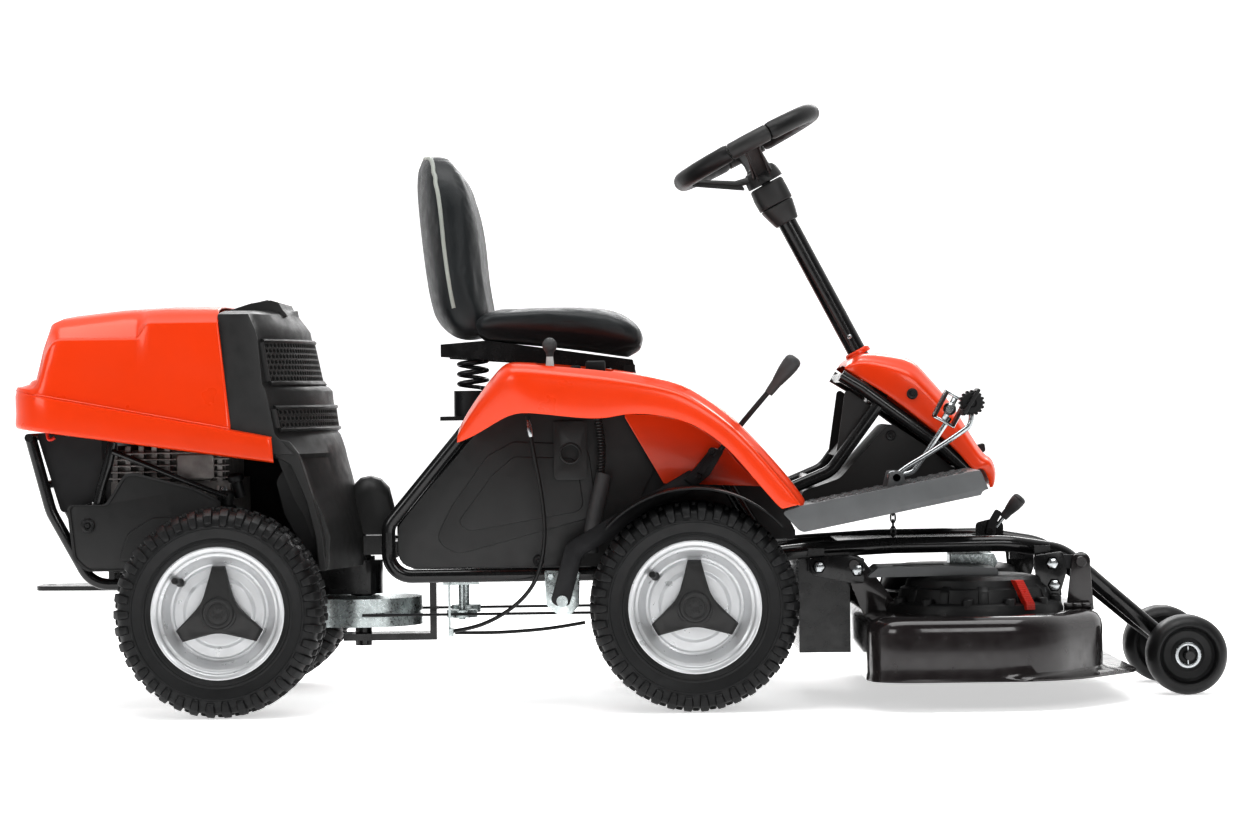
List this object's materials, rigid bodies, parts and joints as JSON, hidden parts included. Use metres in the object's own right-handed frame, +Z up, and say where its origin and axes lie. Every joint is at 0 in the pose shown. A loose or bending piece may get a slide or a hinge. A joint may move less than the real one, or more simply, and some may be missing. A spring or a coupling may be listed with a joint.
{
  "type": "riding lawn mower",
  "caption": "Articulated riding mower: driver's seat and wheel in front of a rear engine section, with a lifting rotary cutting deck ahead of the front wheels.",
  "frame": {"origin": "on the floor under the middle of the machine's box", "axes": "+X forward to the cutting deck, +Y to the driver's left, +Z up"},
  "size_m": [2.1199, 0.89, 1.0612],
  "materials": {
    "black_tube": "gloss black powder coat",
    "dark_plastic": "grained dark grey",
    "black_plastic": "fine-grained black",
    "orange_shell": "gloss orange",
    "spring_steel": "black oxide",
    "zinc_plate": "zinc plated",
    "grey_paint": "satin grey",
    "cable_rubber": "smooth black",
    "cast_alloy": "as cast",
    "dark_steel": "satin dark grey",
    "grey_plastic": "grey moulded grip",
    "bright_steel": "bright zinc",
    "seat_vinyl": "grained slate vinyl",
    "deck_paint": "gloss dark grey",
    "belt_rubber": "fabric-faced rubber",
    "tyre_rubber": "moulded rubber",
    "silver_rim": "silver gloss"
  },
  "bodies": {
    "front_section": {"front_frame": "black_tube", "side_panels": "dark_plastic", "fender_right": "orange_shell", "fender_left": "orange_shell", "mudguards": "black_plastic", "seat_base": "black_plastic", "control_console": "dark_plastic", "seat_springs": "spring_steel", "lever_brackets": "zinc_plate", "steering_column": "black_tube", "cowl": "orange_shell", "cowl_tube": "black_tube", "leg_tunnel": "dark_plastic", "footplate_right": "grey_paint", "footplate_left": "grey_paint", "pivot_cover": "dark_plastic", "lift_chain": "spring_steel", "control_cables": "cable_rubber", "pulley_block": "zinc_plate"},
    "rear_section": {"rear_frame": "black_tube", "steering_drum": "zinc_plate", "rear_axle": "cast_alloy", "engine_block": "cast_alloy", "engine_shroud": "black_plastic", "muffler": "dark_steel", "fuel_tank": "black_plastic", "side_shields": "dark_plastic", "front_cover": "dark_plastic"},
    "crank": {"engine_pulley": "dark_steel"},
    "hood": {"hood": "orange_shell"},
    "steering": {"steering_wheel": "black_plastic"},
    "lift_lever": {"lift_lever": "dark_steel", "lift_grip": "grey_plastic"},
    "forward_pedal": {"forward_pedal": "bright_steel"},
    "reverse_pedal": {"reverse_pedal": "bright_steel"},
    "throttle": {"throttle_lever": "grey_plastic"},
    "choke": {"choke_knob": "black_plastic"},
    "blade_switch": {"blade_switch": "black_plastic"},
    "seat": {"seat_pan": "black_tube", "seat_cushion": "seat_vinyl", "seat_back": "seat_vinyl"},
    "deck_frame": {"deck_frame": "black_tube"},
    "support_right": {"support_wheel_right": "black_plastic"},
    "support_left": {"support_wheel_left": "black_plastic"},
    "links_rear": {"deck_links_rear": "dark_steel"},
    "links_front": {"deck_links_front": "dark_steel"},
    "height_lever": {"height_lever": "dark_steel"},
    "deck": {"deck_shell": "deck_paint", "belt_cover": "black_plastic", "deck_belt": "belt_rubber"},
    "blade_right": {"blade_right": "dark_steel"},
    "blade_left": {"blade_left": "dark_steel"},
    "front_right_wheel": {"front_right_rim": "silver_rim", "front_right_tyre": "tyre_rubber"},
    "front_left_wheel": {"front_left_rim": "silver_rim", "front_left_tyre": "tyre_rubber"},
    "rear_right_wheel": {"rear_right_rim": "silver_rim", "rear_right_tyre": "tyre_rubber"},
    "rear_left_wheel": {"rear_left_rim": "silver_rim", "rear_left_tyre": "tyre_rubber"}
  },
  "joints": [
    {"name": "articulation", "type": "hinge", "parent": "front_section", "child": "rear_section", "pos_m": [-0.472, 0, 0.2], "axis": [0, 0, 1], "range_deg": [-30, 30]},
    {"name": "steering_turn", "type": "hinge", "parent": "front_section", "child": "steering", "pos_m": [0.231, 0, 0.985], "axis": [-0.4635, 0, 0.8861], "range_deg": [-300, 300]},
    {"name": "front_right_spin", "type": "hinge", "parent": "front_section", "child": "front_right_wheel", "pos_m": [0.12, -0.32, 0.179], "axis": [0, 1, 0], "continuous": true},
    {"name": "front_left_spin", "type": "hinge", "parent": "front_section", "child": "front_left_wheel", "pos_m": [0.12, 0.32, 0.179], "axis": [0, 1, 0], "continuous": true},
    {"name": "rear_right_spin", "type": "hinge", "parent": "rear_section", "child": "rear_right_wheel", "pos_m": [-0.69, -0.32, 0.179], "axis": [0, 1, 0], "continuous": true},
    {"name": "rear_left_spin", "type": "hinge", "parent": "rear_section", "child": "rear_left_wheel", "pos_m": [-0.69, 0.32, 0.179], "axis": [0, 1, 0], "continuous": true},
    {"name": "hood_open", "type": "hinge", "parent": "rear_section", "child": "hood", "pos_m": [-1.034, 0, 0.48], "axis": [0, -1, 0], "range_deg": [0, 60]},
    {"name": "crank_spin", "type": "hinge", "parent": "rear_section", "child": "crank", "pos_m": [-0.795, 0, 0.238], "axis": [0, 0, 1], "continuous": true},
    {"name": "seat_tilt", "type": "hinge", "parent": "front_section", "child": "seat", "pos_m": [0.014, 0, 0.586], "axis": [0, 1, 0], "range_deg": [0, 50]},
    {"name": "throttle_turn", "type": "hinge", "parent": "front_section", "child": "throttle", "pos_m": [-0.122, -0.325, 0.586], "axis": [0, 1, 0], "range_deg": [-25, 25]},
    {"name": "choke_pull", "type": "slide", "parent": "front_section", "child": "choke", "axis": [0, 0, 1], "range_m": [0, 0.015]},
    {"name": "blade_switch_turn", "type": "hinge", "parent": "front_section", "child": "blade_switch", "pos_m": [-0.044, -0.325, 0.58], "axis": [0, 0, 1], "range_deg": [0, 60]},
    {"name": "forward_pedal_press", "type": "hinge", "parent": "front_section", "child": "forward_pedal", "pos_m": [0.468, -0.322, 0.393], "axis": [0, 1, 0], "range_deg": [-12, 12], "stiffness_Nm_per_rad": 12},
    {"name": "reverse_pedal_press", "type": "hinge", "parent": "front_section", "child": "reverse_pedal", "pos_m": [0.468, -0.248, 0.393], "axis": [0, 1, 0], "range_deg": [-12, 12]},
    {"name": "deck_lift", "type": "hinge", "parent": "front_section", "child": "deck_frame", "pos_m": [0.245, 0, 0.255], "axis": [0, 1, 0], "range_deg": [-6, 0], "deforming": ["lift_chain"]},
    {"name": "lift_lever_pull", "type": "hinge", "parent": "front_section", "child": "lift_lever", "pos_m": [-0.108, -0.228, 0.184], "axis": [0, 1, 0], "range_deg": [-19.5, 0]},
    {"name": "support_right_spin", "type": "hinge", "parent": "deck_frame", "child": "support_right", "pos_m": [0.99, -0.14, 0.07], "axis": [0, 1, 0], "continuous": true},
    {"name": "support_left_spin", "type": "hinge", "parent": "deck_frame", "child": "support_left", "pos_m": [0.99, 0.14, 0.07], "axis": [0, 1, 0], "continuous": true},
    {"name": "deck_height", "type": "slide", "parent": "deck_frame", "child": "deck", "axis": [0, 0, 1], "range_m": [-0.02, 0.02]},
    {"name": "height_lever_turn", "type": "hinge", "parent": "deck_frame", "child": "height_lever", "pos_m": [0.664, 0.037, 0.284], "axis": [0, 1, 0], "range_deg": [-18, 18]},
    {"name": "rear_links_turn", "type": "hinge", "parent": "deck_frame", "child": "links_rear", "pos_m": [0.336, 0, 0.24], "axis": [0, 1, 0], "range_deg": [-18, 18]},
    {"name": "front_links_turn", "type": "hinge", "parent": "deck_frame", "child": "links_front", "pos_m": [0.731, 0, 0.24], "axis": [0, 1, 0], "range_deg": [-18, 18]},
    {"name": "right_blade_spin", "type": "hinge", "parent": "deck", "child": "blade_right", "pos_m": [0.62, -0.205, 0.07], "axis": [0, 0, 1], "continuous": true},
    {"name": "left_blade_spin", "type": "hinge", "parent": "deck", "child": "blade_left", "pos_m": [0.62, 0.205, 0.07], "axis": [0, 0, 1], "continuous": true}
  ],
  "couplings": [
    {"joint": "steering_turn", "follows": "articulation", "ratio": -10},
    {"joint": "lift_lever_pull", "follows": "deck_lift", "ratio": 3.25},
    {"joint": "reverse_pedal_press", "follows": "forward_pedal_press", "ratio": -1},
    {"joint": "height_lever_turn", "follows": "deck_height", "rad_per_m": -15.144},
    {"joint": "rear_links_turn", "follows": "deck_height", "rad_per_m": -15.144},
    {"joint": "front_links_turn", "follows": "deck_height", "rad_per_m": -15.144},
    {"joint": "left_blade_spin", "follows": "right_blade_spin", "ratio": 1}
  ]
}
